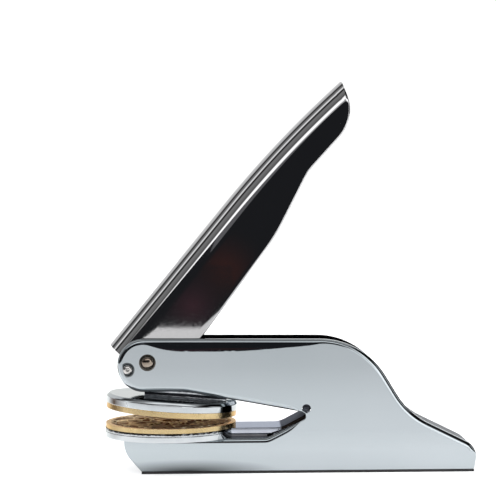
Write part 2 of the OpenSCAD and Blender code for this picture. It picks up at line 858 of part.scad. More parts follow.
module stop_pin() {
    dimple_d = 0.35 * stop_head_d;
    color("silver") centred()
        translate([stop[0], 0, stop[1]])
            for (side = [-1, 1])
                rotate([side * 90, 0, 0])
                    difference() {
                        half_pin(stop_d, stop_head_d, stop_sink_d);
                        translate([0, 0, body_w / 2 + head_out - dimple_d / 2])
                            cylinder(d1 = 0, d2 = 1.2 * dimple_d, h = 0.6 * dimple_d);
                    }
}

module stop_sleeve() {
    sleeve_l = gap_w - 2 * seat_clear;
    color("silver") centred()
        difference() {
            rod(stop, stop_sleeve_d, -sleeve_l / 2, sleeve_l / 2);
            rod(stop, stop_d + 2 * run_clear, -sleeve_l, sleeve_l);
        }
}

near_side_plate();
far_side_plate();
rear_spine();
base_plate();
base_pad();
base_screws();
die_bed();
lower_arm();
lower_holder();
lower_die();
heel_block();
heel_cap();
heel_screws();
long_leaf(1);  // long_leaf_1
long_leaf(2);  // long_leaf_2
short_leaf(1);  // short_leaf_1
short_leaf(2);  // short_leaf_2
short_leaf(3);  // short_leaf_3
upper_holder();
upper_die();
upper_rivets();
lever();
pivot_sleeve();
pivot_pin();
pivot_washers();
stop_pin();
stop_sleeve();
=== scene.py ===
import math

import bmesh
import bpy
from mathutils import Matrix, Vector
from mathutils.geometry import tessellate_polygon


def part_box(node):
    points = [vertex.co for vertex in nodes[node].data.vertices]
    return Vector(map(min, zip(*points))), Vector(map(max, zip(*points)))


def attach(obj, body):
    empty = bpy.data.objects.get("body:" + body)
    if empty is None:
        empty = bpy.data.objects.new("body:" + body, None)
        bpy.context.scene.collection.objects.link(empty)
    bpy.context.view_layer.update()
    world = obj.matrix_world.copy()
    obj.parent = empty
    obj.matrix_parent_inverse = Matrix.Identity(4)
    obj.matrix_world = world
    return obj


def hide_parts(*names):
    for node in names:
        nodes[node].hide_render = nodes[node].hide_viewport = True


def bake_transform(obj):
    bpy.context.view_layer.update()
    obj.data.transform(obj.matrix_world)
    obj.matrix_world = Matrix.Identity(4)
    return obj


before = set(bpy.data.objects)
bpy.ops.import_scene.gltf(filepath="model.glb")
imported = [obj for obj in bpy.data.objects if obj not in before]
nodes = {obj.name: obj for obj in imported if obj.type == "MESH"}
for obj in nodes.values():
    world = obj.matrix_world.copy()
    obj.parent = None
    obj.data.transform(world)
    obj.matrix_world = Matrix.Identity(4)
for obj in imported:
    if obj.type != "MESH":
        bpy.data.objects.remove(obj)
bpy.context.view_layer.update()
mm = 0.001
sameSpot = 0.002 * mm  # nearer points are joined into one
print("frame loaded:", len(nodes), "pieces")


# Camera

cameraSet = {
    "place": (-19.07, -477.91, 78.98),  # mm
    "yaw": 0.0121,                      # towards the tail
    "pitch": -0.0104,
    "roll": -0.0065,
    "focalPixels": 1407.3,
    "imageWidth": 496,
    "sensor": 36,                       # mm
    "nearest": 10,                      # mm
}


def makeCamera(s):
    forward = Vector((
        math.sin(s["yaw"]) * math.cos(s["pitch"]),
        math.cos(s["yaw"]) * math.cos(s["pitch"]),
        math.sin(s["pitch"]),
    ))
    level = Vector((math.cos(s["yaw"]), -math.sin(s["yaw"]), 0))
    upright = level.cross(forward)
    right = math.cos(s["roll"]) * level + math.sin(s["roll"]) * upright
    up = math.cos(s["roll"]) * upright - math.sin(s["roll"]) * level
    data = bpy.data.cameras.new("studioCamera")
    data.sensor_fit = "HORIZONTAL"
    data.sensor_width = s["sensor"]
    data.lens = s["sensor"] * s["focalPixels"] / s["imageWidth"]
    data.clip_start = s["nearest"] * mm
    camera = bpy.data.objects.new("studioCamera", data)
    bpy.context.scene.collection.objects.link(camera)
    turn = Matrix((right, up, -forward)).transposed()
    camera.matrix_world = Matrix.Translation(Vector(s["place"]) * mm) @ turn.to_4x4()
    bpy.context.scene.camera = camera


makeCamera(cameraSet)
bpy.context.scene.view_settings.view_transform = "Standard"
print("camera set")


# Nodes, for materials and for the world

noiseSpan = (0.3, 0.7)        # nearly all of a noise lies between these
mixA, mixB, mixOut = 6, 7, 2  # colour sockets of a Mix node


def addNode(owner, kind, **values):
    node = owner.node_tree.nodes.new(kind)
    for key, value in values.items():
        setattr(node, key, value)
    return node


def join(owner, fromNode, output, toNode, socket):
    owner.node_tree.links.new(fromNode.outputs[output], toNode.inputs[socket])


def objectPlace(material, stretch):
    place = addNode(material, "ShaderNodeTexCoord")
    scale = addNode(material, "ShaderNodeMapping")
    scale.inputs["Scale"].default_value = stretch
    join(material, place, "Object", scale, "Vector")
    return scale


def addNoise(material, place, size, detail):
    noise = addNode(material, "ShaderNodeTexNoise")
    noise.inputs["Scale"].default_value = size
    noise.inputs["Detail"].default_value = detail
    join(material, place, "Vector", noise, "Vector")
    return noise


def mapSpan(owner, source, output, start, end, low=0, high=1, kind="SMOOTHSTEP"):
    span = addNode(owner, "ShaderNodeMapRange", interpolation_type=kind)
    span.inputs["From Min"].default_value = start
    span.inputs["From Max"].default_value = end
    span.inputs["To Min"].default_value = low
    span.inputs["To Max"].default_value = high
    join(owner, source, output, span, "Value")
    return span


def spread(material, noise, output, low, high):
    return mapSpan(material, noise, output, *noiseSpan, low, high, "LINEAR")


def zoneMask(material, source, output, start, end):
    return mapSpan(material, source, output, start * mm, end * mm)


def blendColours(material, source, output, first, second, ends=noiseSpan):
    ramp = addNode(material, "ShaderNodeValToRGB")
    for element, position, colour in zip(ramp.color_ramp.elements, ends, (first, second)):
        element.position = position
        element.color = (*colour, 1)
    join(material, source, output, ramp, "Fac")
    return ramp


# Grey stops, each a place and a brightness, as shares of the brightness that the ramp can hold
def greyRamp(owner, source, output, stops, brightest):
    ramp = addNode(owner, "ShaderNodeValToRGB")
    elements = ramp.color_ramp.elements
    elements[0].position, elements[1].position = stops[0][0], stops[-1][0]
    for position, value in stops[1:-1]:
        elements.new(position)
    for element, (position, value) in zip(elements, stops):
        element.position = position
        element.color = (value / brightest, value / brightest, value / brightest, 1)
    join(owner, source, output, ramp, "Fac")
    return ramp


def mixTwo(material, mask, output, first, firstOutput, second, secondOutput):
    mix = addNode(material, "ShaderNodeMix", data_type="RGBA")
    join(material, mask, output, mix, "Factor")
    join(material, first, firstOutput, mix, mixA)
    join(material, second, secondOutput, mix, mixB)
    return mix


def addBump(material, bsdf, source, output, depth, strength):
    bump = addNode(material, "ShaderNodeBump")
    bump.inputs["Distance"].default_value = depth
    bump.inputs["Strength"].default_value = strength
    join(material, source, output, bump, "Height")
    join(material, bump, "Normal", bsdf, "Normal")


# Finishes

def newMaterial(name):
    material = bpy.data.materials.new(name)
    material.use_nodes = True
    return material, material.node_tree.nodes["Principled BSDF"]


metalDetail = {"cloud": 3, "grain": 6, "bumpStrength": 0.3}


def makeMetal(name, s):
    material, bsdf = newMaterial(name)
    bsdf.inputs["Metallic"].default_value = 1
    place = objectPlace(material, s.get("stretch", (1, 1, 1)))
    cloud = addNoise(material, place, s["cloudSize"], metalDetail["cloud"])
    grain = addNoise(material, place, s["grainSize"], metalDetail["grain"])
    tint = blendColours(material, cloud, "Fac", s["colour"], s["second"])
    join(material, tint, "Color", bsdf, "Base Color")
    haze = spread(material, grain, "Fac", *s["rough"])
    join(material, haze, "Result", bsdf, "Roughness")
    addBump(material, bsdf, grain, "Fac", s["bump"], metalDetail["bumpStrength"])
    bsdf.inputs["Specular Tint"].default_value = (*s.get("grazing", (1, 1, 1)), 1)
    return material


metals = {  # "grazing" tints what is mirrored at a flat angle, "bump" is in metres
    "plateChrome": {
        "colour": (0.382, 0.422, 0.445), "second": (0.402, 0.437, 0.462), "rough": (0.03, 0.07),
        "cloudSize": 30, "grainSize": 900, "bump": 0.000002,
    },
    "spineChrome": {
        "colour": (0.3, 0.32, 0.34), "second": (0.41, 0.435, 0.465), "rough": (0.25, 0.45),
        "cloudSize": 30, "grainSize": 900, "bump": 0.000002,
        "stretch": (8, 0.2, 8), "grazing": (0.4, 0.41, 0.42),
    },
    "leverChrome": {
        "colour": (0.46, 0.46, 0.472), "second": (0.49, 0.487, 0.493), "rough": (0.02, 0.05),
        "cloudSize": 25, "grainSize": 900, "bump": 0.000002,
    },
    "holderChrome": {
        "colour": (0.42, 0.45, 0.47), "second": (0.5, 0.52, 0.54), "rough": (0.04, 0.09),
        "cloudSize": 120, "grainSize": 1500, "bump": 0.000004, "grazing": (0.86, 0.88, 0.86),
    },
    "armChrome": {
        "colour": (0.33, 0.35, 0.4), "second": (0.39, 0.41, 0.46), "rough": (0.08, 0.16),
        "cloudSize": 90, "grainSize": 1200, "bump": 0.000005, "grazing": (0.6, 0.64, 0.73),
    },
    "dieBrass": {
        "colour": (0.46, 0.35, 0.18), "second": (0.56, 0.44, 0.25), "rough": (0.16, 0.3),
        "cloudSize": 160, "grainSize": 1800, "bump": 0.000008, "grazing": (0.9, 0.72, 0.53),
    },
    "leafSteel": {
        "colour": (0.01, 0.011, 0.014), "second": (0.045, 0.048, 0.056), "rough": (0.18, 0.35),
        "cloudSize": 200, "grainSize": 2500, "bump": 0.000008,
        "stretch": (1, 0.15, 1), "grazing": (0.5, 0.52, 0.56),
    },
    # a lighter copy of the dark leaf steel, laid on every other leaf as painted highlight lines
    "leafHighlight": {
        "colour": (0.45, 0.48, 0.52), "second": (0.85, 0.88, 0.92), "rough": (0.12, 0.25),
        "cloudSize": 500, "grainSize": 2500, "bump": 0.000008,
        "stretch": (1, 0.15, 1), "grazing": (0.6, 0.62, 0.66),
    },
    "clampSteel": {
        "colour": (0.02, 0.02, 0.024), "second": (0.06, 0.06, 0.066), "rough": (0.3, 0.5),
        "cloudSize": 80, "grainSize": 1200, "bump": 0.00001,
    },
    "bedSteel": {
        "colour": (0.16, 0.165, 0.18), "second": (0.22, 0.22, 0.24), "rough": (0.3, 0.5),
        "cloudSize": 80, "grainSize": 1200, "bump": 0.00001,
    },
    "screwSteel": {
        "colour": (0.42, 0.42, 0.43), "second": (0.52, 0.52, 0.52), "rough": (0.15, 0.3),
        "cloudSize": 200, "grainSize": 2000, "bump": 0.000005,
    },
    "pinLight": {
        "colour": (0.38, 0.37, 0.36), "second": (0.52, 0.51, 0.5), "rough": (0.08, 0.18),
        "cloudSize": 300, "grainSize": 2500, "bump": 0.000006,
    },
    "pinSteel": {
        "colour": (0.15, 0.115, 0.09), "second": (0.3, 0.26, 0.22), "rough": (0.08, 0.18),
        "cloudSize": 300, "grainSize": 2500, "bump": 0.000006,
    },
}

padRubber = {
    "colour": (0.008, 0.008, 0.009), "second": (0.02, 0.02, 0.022), "rough": 0.7,
    "grainSize": 1800, "detail": 5, "bump": 0.00003, "bumpStrength": 0.5,
}


def makeRubber(s):
    material, bsdf = newMaterial("padRubber")
    grain = addNoise(material, objectPlace(material, (1, 1, 1)), s["grainSize"], s["detail"])
    tint = blendColours(material, grain, "Fac", s["colour"], s["second"])
    join(material, tint, "Color", bsdf, "Base Color")
    bsdf.inputs["Roughness"].default_value = s["rough"]
    addBump(material, bsdf, grain, "Fac", s["bump"], s["bumpStrength"])
    return material


# A metal with another colour laid over it in some places, with the piece's own x, y and z
def startFinish(name, metal):
    material = makeMetal(name, metals[metal])
    place = addNode(material, "ShaderNodeTexCoord")
    parts = addNode(material, "ShaderNodeSeparateXYZ")
    join(material, place, "Object", parts, "Vector")
    return material, material.node_tree.nodes["Principled BSDF"], parts


def coverColour(material, bsdf, mask, output, cover, coverOutput):
    tint = bsdf.inputs["Base Color"].links[0].from_node
    mix = mixTwo(material, mask, output, tint, "Color", cover, coverOutput)
    join(material, mix, mixOut, bsdf, "Base Color")


def layCover(material, bsdf, mask, s):
    grain = addNoise(material, objectPlace(material, s["stretch"]), s["grainSize"], s["detail"])
    coverDark = blendColours(material, grain, "Fac", s["coverDark"], s["coverLight"], s.get("ends", noiseSpan))
    coverColour(material, bsdf, mask, "Result", coverDark, "Color")


def roughen(material, bsdf, mask, output, amount):
    haze = bsdf.inputs["Roughness"].links[0].from_node
    rough = addNode(material, "ShaderNodeMath", operation="MULTIPLY_ADD")
    join(material, mask, output, rough, 0)
    rough.inputs[1].default_value = amount
    join(material, haze, "Result", rough, 2)
    join(material, rough, "Value", bsdf, "Roughness")


# The arm is bright where paper slides on it and dark brown and rougher where it rises to the heel
armRise = {
    "from": -3.2, "to": -2.4,  # mm along x
    "coverDark": (0.012, 0.009, 0.008), "coverLight": (0.04, 0.03, 0.025),
    "stretch": (1, 0.02, 1), "grainSize": 1500, "detail": 4, "rougher": 0.3,
}


def makeArm(s):
    material, bsdf, parts = startFinish("armChrome", "armChrome")
    mask = zoneMask(material, parts, "X", s["from"], s["to"])
    layCover(material, bsdf, mask, s)
    roughen(material, bsdf, mask, "Result", s["rougher"])
    return material


# The lower spring leaf has a painted highlight in front and the dark leaf steel's own colour at the heel
leafFrontHighlight = {
    "from": -15, "to": -5,  # mm along x
    "coverDark": (0.01, 0.011, 0.014), "coverLight": (0.045, 0.048, 0.056),
    "stretch": (1, 0.15, 1), "grainSize": 1500, "detail": 4,
}


def makeFrontLitLeaf(s):
    material, bsdf, parts = startFinish("leafFrontLit", "leafHighlight")
    layCover(material, bsdf, zoneMask(material, parts, "X", s["from"], s["to"]), s)
    return material


# Painted shade and old oil in the seam under the lower die: a dark, speckled band along the top of the
# holder
seamShadeAndOil = {
    "from": 14.0, "to": 14.15,  # mm above the table
    "wave": 0.7,                # mm that its lower edge goes up and down
    "waveStretch": (1, 1, 0.3), "waveSize": 900, "waveDetail": 3,
    "coverDark": (0.008, 0.007, 0.007), "coverLight": (0.4, 0.41, 0.42), "ends": (0.5, 0.75),
    "stretch": (1, 1, 1), "grainSize": 700, "detail": 3,
}


def makeShadedSeam(s):
    material, bsdf, parts = startFinish("seamShadedChrome", "holderChrome")
    wave = addNoise(material, objectPlace(material, s["waveStretch"]), s["waveSize"], s["waveDetail"])
    height = addNode(material, "ShaderNodeMath", operation="MULTIPLY_ADD")
    join(material, wave, "Fac", height, 0)
    height.inputs[1].default_value = -s["wave"] * mm
    join(material, parts, "Z", height, 2)
    middle = s["wave"] / 2
    layCover(material, bsdf, zoneMask(material, height, "Value", s["from"] - middle, s["to"] - middle), s)
    return material


# The lower die's ornament field is painted dark brown, standing for patina and the shade in its relief,
# with painted gold highlights along cell edges where the relief would catch the light
dieField = {
    "axis": -39.7975, "radius": 20.6, "edge": 0.4,  # mm
    "top": 16.2, "darkFrom": 0.55, "darkTo": 0.45,  # mm, the last two below the top
    "dark": (0.012, 0.006, 0.005), "brown": (0.26, 0.13, 0.075), "highlightGold": (1.0, 0.95, 0.78),
    "reliefSize": 300, "reliefEnds": (0.12, 0.05),
    "cloudSize": 260, "cloudDetail": 4,
    "glintSize": 140, "glintDetail": 2, "glintSpan": (-0.5, 1.9),
    "rougher": 0.2,
}


def multiply(material, first, firstOutput, second, secondOutput):
    product = addNode(material, "ShaderNodeMath", operation="MULTIPLY")
    join(material, first, firstOutput, product, 0)
    join(material, second, secondOutput, product, 1)
    return product


def makeDie(s):
    material, bsdf, parts = startFinish("dieFace", "dieBrass")
    level = objectPlace(material, (1, 1, 0))
    level.inputs["Location"].default_value = (-s["axis"] * mm, 0, 0)
    reach = addNode(material, "ShaderNodeVectorMath", operation="LENGTH")
    join(material, level, "Vector", reach, 0)
    inside = zoneMask(material, reach, "Value", s["radius"], s["radius"] - s["edge"])
    above = zoneMask(material, parts, "Z", s["top"] - s["darkFrom"], s["top"] - s["darkTo"])
    field = multiply(material, inside, "Result", above, "Result")
    cells = addNode(material, "ShaderNodeTexVoronoi", feature="DISTANCE_TO_EDGE")
    cells.inputs["Scale"].default_value = s["reliefSize"]
    join(material, level, "Vector", cells, "Vector")
    relief = mapSpan(material, cells, "Distance", *s["reliefEnds"])
    # the field's dark brown ground: painted shade and patina
    cloud = addNoise(material, level, s["cloudSize"], s["cloudDetail"])
    ground = blendColours(material, cloud, "Fac", s["dark"], s["brown"])
    # painted highlights: gold on the cell edges, let through in patches by this noise
    glintNoise = addNoise(material, level, s["glintSize"], s["glintDetail"])
    glintSpan = spread(material, glintNoise, "Fac", *s["glintSpan"])
    share = multiply(material, relief, "Result", glintSpan, "Result")
    lit = addNode(material, "ShaderNodeMix", data_type="RGBA")
    join(material, share, "Value", lit, "Factor")
    join(material, ground, "Color", lit, mixA)
    lit.inputs[mixB].default_value = (*s["highlightGold"], 1)
    coverColour(material, bsdf, field, "Value", lit, mixOut)
    roughen(material, bsdf, field, "Value", s["rougher"])
    return material


finishes = {name: makeMetal(name, values) for name, values in metals.items() if name != "armChrome"}
finishes["armChrome"] = makeArm(armRise)
finishes["dieFace"] = makeDie(dieField)
finishes["seamShadedChrome"] = makeShadedSeam(seamShadeAndOil)
finishes["leafFrontLit"] = makeFrontLitLeaf(leafFrontHighlight)
finishes["padRubber"] = makeRubber(padRubber)
print("materials made:", len(finishes))

nodeFinish = {
    "near_side_plate": "plateChrome", "far_side_plate": "plateChrome", "rear_spine": "spineChrome",
    "base_plate": "bedSteel", "base_pad": "padRubber", "base_screws": "screwSteel",
    "die_bed": "bedSteel", "lower_arm": "armChrome", "lower_holder": "seamShadedChrome", "lower_die": "dieFace",
    "heel_block": "clampSteel", "heel_cap": "clampSteel", "heel_screws": "screwSteel",
    "long_leaf_1": "leafFrontLit", "long_leaf_2": "leafSteel",
    # short leaves 1 and 3 carry painted highlight lines between the dark leaves
    "short_leaf_1": "leafHighlight", "short_leaf_2": "leafSteel", "short_leaf_3": "leafHighlight",
    "upper_holder": "holderChrome", "upper_die": "dieBrass", "upper_rivets": "screwSteel",
    "lever": "leverChrome", "pivot_sleeve": "pinSteel", "pivot_pin": "pinSteel",
    "pivot_washers": "pinSteel", "stop_pin": "pinLight", "stop_sleeve": "pinSteel",
}


def dress(piece, finish):
    piece.data.materials.clear()
    piece.data.materials.append(finishes[finish])


for name, finish in nodeFinish.items():
    dress(nodes[name], finish)


# Shared steps of the pieces with a mesh of their own

def smoothMesh(mesh, sharpAngle=180):
    bmesh.ops.recalc_face_normals(mesh, faces=mesh.faces)
    for face in mesh.faces:
        face.smooth = True
    for edge in mesh.edges:
        if len(edge.link_faces) == 2 and edge.calc_face_angle(0) > math.radians(sharpAngle):
            edge.smooth = False


def pieceFrom(mesh, nodeName, ending):
    data = bpy.data.meshes.new(nodeName + ending)
    mesh.to_mesh(data)
    mesh.free()
    piece = bpy.data.objects.new(nodeName + ending, data)
    bpy.context.scene.collection.objects.link(piece)
    dress(piece, nodeFinish[nodeName])
    return piece


def evenShine(piece, weight, keepSharp):
    smooth = piece.modifiers.new("evenShine", "WEIGHTED_NORMAL")
    smooth.weight = weight
    smooth.keep_sharp = keepSharp


# Rounded edges

edgeRounding = {  # width in mm, steps
    "rear_spine": (0.15, 2),
    "lower_arm": (0.5, 3), "lower_holder": (0.08, 2), "upper_holder": (0.25, 3),
    "lower_die": (0.08, 2), "upper_die": (0.08, 2),
    "heel_cap": (0.2, 2), "heel_screws": (0.1, 2), "upper_rivets": (0.1, 2),
    "base_plate": (0.1, 2), "base_pad": (0.1, 2), "pivot_washers": (0.04, 2),
    "short_leaf_1": (0.1, 2), "short_leaf_2": (0.22, 3), "short_leaf_3": (0.1, 2),
}
roundedFrom = 28  # degrees, flatter edges stay as they are
edgeShine = 60    # weight of large faces


def roundEdges(piece, width, steps):
    weld = piece.modifiers.new("closeSeams", "WELD")
    weld.merge_threshold = sameSpot
    bevel = piece.modifiers.new("softEdges", "BEVEL")
    bevel.width = width * mm
    bevel.segments = steps
    bevel.limit_method = "ANGLE"
    bevel.angle_limit = math.radians(roundedFrom)
    bevel.use_clamp_overlap = True
    evenShine(piece, edgeShine, False)
    for face in piece.data.polygons:
        face.use_smooth = True


for name, (width, steps) in edgeRounding.items():
    roundEdges(nodes[name], width, steps)
print("edges rounded:", len(edgeRounding))


# Side plates with rolled edges
plateRoll = {
    "full": 1.05,            # mm, radius of the roll
    "thin": 0.25,            # at the foot, the jaws' front, the tail's end and the notch
    "ease": 0.8,             # soft start before the roll
    "hump": 0.35,            # less of it over the hump
    "back": 0.6,             # down the back
    "backRoll": 1.3,         # and a wider roll there
    "lens": 2.3,             # and most along the top
    "tilt": 10,              # degrees reached in the soft start
    "mitre": 0.7,            # keeps the points of a sharp corner from running off
    "softSteps": 5, "rollSteps": 9, "evenPasses": 12,
    "pitch": 1.2,            # mm between points along the edge
    "sharp": 32,             # degrees
    "shine": 80,             # weight of large faces
    "dieAxis": -39.7975,     # mm, every x below is from here
    "foot": 1.5,                      # z under this
    "jaw": (-8.6, 12.6),              # x and z under these
    "tail": (101, 6.5),               # x past this, z under this
    "notch": ((43, 50), (16.5, 24)),  # x and z between these
    "humpFrom": 50, "backFrom": (60, 70),
    "topFrom": 40, "lensFrom": (-9, 0), "lensTo": (20, 56),
}


def smoothStep(low, high, value):
    t = min(1, max(0, (value - low) / (high - low)))
    return t * t * (3 - 2 * t)


def rollSize(x, z, s):
    jaw, tail, (notchX, notchZ) = s["jaw"], s["tail"], s["notch"]
    atJaw = x < jaw[0] and z < jaw[1]
    atTail = x > tail[0] and z < tail[1]
    atNotch = notchX[0] < x < notchX[1] and notchZ[0] < z < notchZ[1]
    if z < s["foot"] or atJaw or atTail or atNotch:
        return s["thin"], 0
    ease, radius = s["ease"], s["full"]
    if x > s["humpFrom"]:
        down = smoothStep(*s["backFrom"], x)
        ease = s["hump"] + (s["back"] - s["hump"]) * down
        radius = s["full"] + (s["backRoll"] - s["full"]) * down
    if z > s["topFrom"]:
        ease += s["lens"] * smoothStep(*s["lensFrom"], x) * (1 - smoothStep(*s["lensTo"], x))
    return radius, ease


def evened(values, passes):
    caps = values
    count = len(values)
    for _ in range(passes):
        values = [
            min(caps[i], (values[i - 1] + 2 * values[i] + values[(i + 1) % count]) / 4)
            for i in range(count)
        ]
    return values


# Across the edge, as (distance in from the rim, depth below the face): a soft start, then the roll
def rollProfile(radius, ease, tilt, s):
    a = math.radians(tilt) if ease > 0 else 0
    slope = math.tan(a) / (2 * ease) if ease > 0 else 0
    start = slope * ease * ease
    bend = radius / (1 - math.sin(a))
    softs, rolls = s["softSteps"], s["rollSteps"]
    soft = [(radius + ease * (1 - t / softs), slope * (ease * t / softs) ** 2) for t in range(softs + 1)]
    turns = [a + (math.pi / 2 - a) * t / rolls for t in range(1, rolls + 1)]
    roll = [
        (radius - bend * (math.sin(t) - math.sin(a)), start + bend * (math.cos(a) - math.cos(t)))
        for t in turns
    ]
    return soft + roll


def openLoops(mesh):
    left = {edge for edge in mesh.edges if edge.is_boundary}
    loops = []
    while left:
        edge = left.pop()
        start, here = edge.verts
        loop = [start]
        while here != start:
            loop.append(here)
            edge = next(e for e in here.link_edges if e in left)
            left.discard(edge)
            here = edge.other_vert(here)
        loops.append(loop)
    return loops


# The plate without its outer face, with the points of that face's rim and of its holes
def openPlate(nodeName, face, s):
    mesh = bmesh.new()
    mesh.from_mesh(nodes[nodeName].data)
    bmesh.ops.remove_doubles(mesh, verts=mesh.verts, dist=sameSpot)
    outer = [f for f in mesh.faces if all(abs(v.co.y - face) < sameSpot / 2 for v in f.verts)]
    bmesh.ops.delete(mesh, geom=outer, context="FACES_ONLY")
    for edge in [e for e in mesh.edges if e.is_boundary and e.calc_length() > 1.5 * s["pitch"] * mm]:
        cuts = int(edge.calc_length() / (s["pitch"] * mm))
        bmesh.ops.subdivide_edges(mesh, edges=[edge], cuts=cuts)
    loops = sorted(openLoops(mesh), key=len)
    rim, holes = loops[-1], loops[:-1]
    area = sum(a.co.x * b.co.z - b.co.x * a.co.z for a, b in zip(rim, rim[1:] + rim[:1]))
    if area < 0:
        rim.reverse()
    return mesh, rim, holes


def inwardWays(flat, s):
    ways = []
    for i, point in enumerate(flat):
        a = (point - flat[i - 1]).normalized()
        b = (flat[(i + 1) % len(flat)] - point).normalized()
        way = Vector((-a.y - b.y, a.x + b.x)).normalized()
        ways.append(way / max(s["mitre"], way.dot(Vector((-a.y, a.x)))))
    return ways


def rolledPlate(nodeName, s):
    low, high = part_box(nodeName)
    side = -1 if low.y < 0 else 1
    face = low.y if side < 0 else high.y
    mesh, rim, holes = openPlate(nodeName, face, s)
    flat = [Vector((v.co.x, v.co.z)) for v in rim]
    count = len(flat)
    inward = inwardWays(flat, s)
    sizes = [rollSize(p.x / mm - s["dieAxis"], p.y / mm, s) for p in flat]
    radii = evened([radius for radius, ease in sizes], s["evenPasses"])
    eases = evened([ease for radius, ease in sizes], s["evenPasses"])
    profiles = [rollProfile(r, e, s["tilt"] * min(1, e / s["ease"]), s) for r, e in zip(radii, eases)]
    rings = []
    for k in range(len(profiles[0]) - 1):
        rings.append([
            mesh.verts.new((
                flat[i].x + inward[i].x * profiles[i][k][0] * mm,
                face - side * profiles[i][k][1] * mm,
                flat[i].y + inward[i].y * profiles[i][k][0] * mm,
            )) for i in range(count)
        ])
    for i, vert in enumerate(rim):
        vert.co.y = face - side * profiles[i][-1][1] * mm
    rings.append(rim)
    for first, second in zip(rings, rings[1:]):
        for i in range(count):
            j = (i + 1) % count
            mesh.faces.new((first[i], first[j], second[j], second[i]))
    borders = [rings[0]] + holes
    corners = [v for border in borders for v in border]
    for triangle in tessellate_polygon([[v.co for v in border] for border in borders]):
        mesh.faces.new([corners[i] for i in triangle])
    smoothMesh(mesh, s["sharp"])
    plate = pieceFrom(mesh, nodeName, "Rolled")
    evenShine(plate, s["shine"], True)
    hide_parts(nodeName)
    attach(plate, "frame")


for name in ("near_side_plate", "far_side_plate"):
    rolledPlate(name, plateRoll)
print("side plates rolled")


# Pins with domed heads
pinShapes = {  # half of each pin as radius and distance from the middle, mm
    "pivot_pin": {
        "at": (-47.0175, 36.9816),
        "half": [(1.7, 0), (1.7, 10.7), (1.95, 11.0)],
        "dome": (1.98, 11.25, 0.85),  # radius, where it starts, height
        "dimple": [],
    },
    "stop_pin": {
        "at": (-53.6575, 34.6116),
        "half": [(1.25, 0), (1.25, 10.6), (1.5, 10.9)],
        "dome": (1.6, 11.35, 0.7),
        "dimple": [(0.5, 0), (0.45, 0.04), (0.25, 0.3), (0, 0.38)],  # radius, depth
    },
}
pinTurning = {"sides": 48, "domeSteps": 12, "axis": 0.01}  # mm, nearer points are on the axis


def pinProfile(s, steps):
    radius, start, height = s["dome"]
    angles = [math.radians(90 * i / steps) for i in range(steps + 1)]
    dome = [(radius * math.cos(a), start + height * math.sin(a)) for a in angles]
    if s["dimple"]:
        dome = [point for point in dome if point[0] > s["dimple"][0][0]]
        edge = dome[-1][1]
        dome += [(r, edge - depth) for r, depth in s["dimple"][1:]]
    return s["half"] + dome


def turnedPin(nodeName, s, turning):
    mesh = bmesh.new()
    count = turning["sides"]
    profile = pinProfile(s, turning["domeSteps"])
    line = [(r, -y) for r, y in reversed(profile)] + profile[1:]
    rows = []
    for r, y in line:
        if r < turning["axis"]:
            rows.append([mesh.verts.new((s["at"][0] * mm, y * mm, s["at"][1] * mm))])
            continue
        row = []
        for i in range(count):
            a = 2 * math.pi * i / count
            row.append(mesh.verts.new((
                (s["at"][0] + r * math.cos(a)) * mm, y * mm, (s["at"][1] + r * math.sin(a)) * mm,
            )))
        rows.append(row)
    for first, second in zip(rows, rows[1:]):
        for i in range(count):
            j = (i + 1) % count
            pairs = ((first, i), (first, j), (second, j), (second, i))
            corners = [ring[k % len(ring)] for ring, k in pairs]
            mesh.faces.new(list(dict.fromkeys(corners)))
    smoothMesh(mesh)
    pin = pieceFrom(mesh, nodeName, "Turned")
    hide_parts(nodeName)
    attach(pin, "frame")


for name, values in pinShapes.items():
    turnedPin(name, values, pinTurning)
print("pins turned")


# Lever
leverShape = {  # mm, in the lever's own place: pivot at the origin, level, crown up
    "pivot": (-47.0175, 36.9816), "open": 50,  # x and z in the frame, degrees
    "half": 8.9, "sheet": 1.5, "shoulder": 7,
    "crown": 13.6, "rise": 0.55, "droopStart": 57, "droop": 370,
    "heel": -4.1336, "tip": 113.6, "corner": 5,
    "rimRound": 0.55, "leastWall": 0.15,
    "step": 1.3, "cornerSteps": 12, "rimSteps": 5, "wallSteps": 9, "shoulderSteps": 16, "topSteps": 3,
    "hair": 0.0001, "tipGap": 0.02,
    "sharp": 35, "shine": 60,  # degrees, weight of large faces
}


def leverOutline(s):
    turn = math.radians(s["open"])
    spots = {}
    for vert in nodes["lever"].data.vertices:
        x = vert.co.x / mm - s["pivot"][0]
        z = vert.co.z / mm - s["pivot"][1]
        u, v = x * math.cos(turn) + z * math.sin(turn), z * math.cos(turn) - x * math.sin(turn)
        spots[vert.index] = (u, vert.co.y / mm, v)
    edges = []
    for edge in nodes["lever"].data.edges:
        a, b = (spots[i] for i in edge.vertices)
        if abs(a[0] - b[0]) > s["hair"]:
            edges.append((a, b) if a[0] < b[0] else (b, a))
    return edges


def lowestAt(u, edges, s):
    near = [(a, b) for a, b in edges if a[0] - s["hair"] <= u <= b[0] + s["hair"]]
    return min(a[2] + (b[2] - a[2]) * (u - a[0]) / (b[0] - a[0]) for a, b in near)


def crownAt(u, s):
    rise = math.radians(s["rise"])
    along = u * math.cos(rise)
    past = max(0, along - s["droopStart"])
    return s["crown"] + u * math.sin(rise) - (s["droop"] - math.sqrt(s["droop"] ** 2 - past ** 2))


# Along the lever and round its tip corner, as (place, half width, turn of the wall)
def leverStations(s):
    last = s["tip"] - s["corner"]
    count = round((last - s["heel"]) / s["step"])
    stations = [(s["heel"] + (last - s["heel"]) * i / count, s["half"], 0) for i in range(count + 1)]
    for i in range(1, s["cornerSteps"] + 1):
        t = math.radians(90 * i / s["cornerSteps"])
        stations.append((last + s["corner"] * math.sin(t), s["half"] - s["corner"] * (1 - math.cos(t)), t))
    return stations


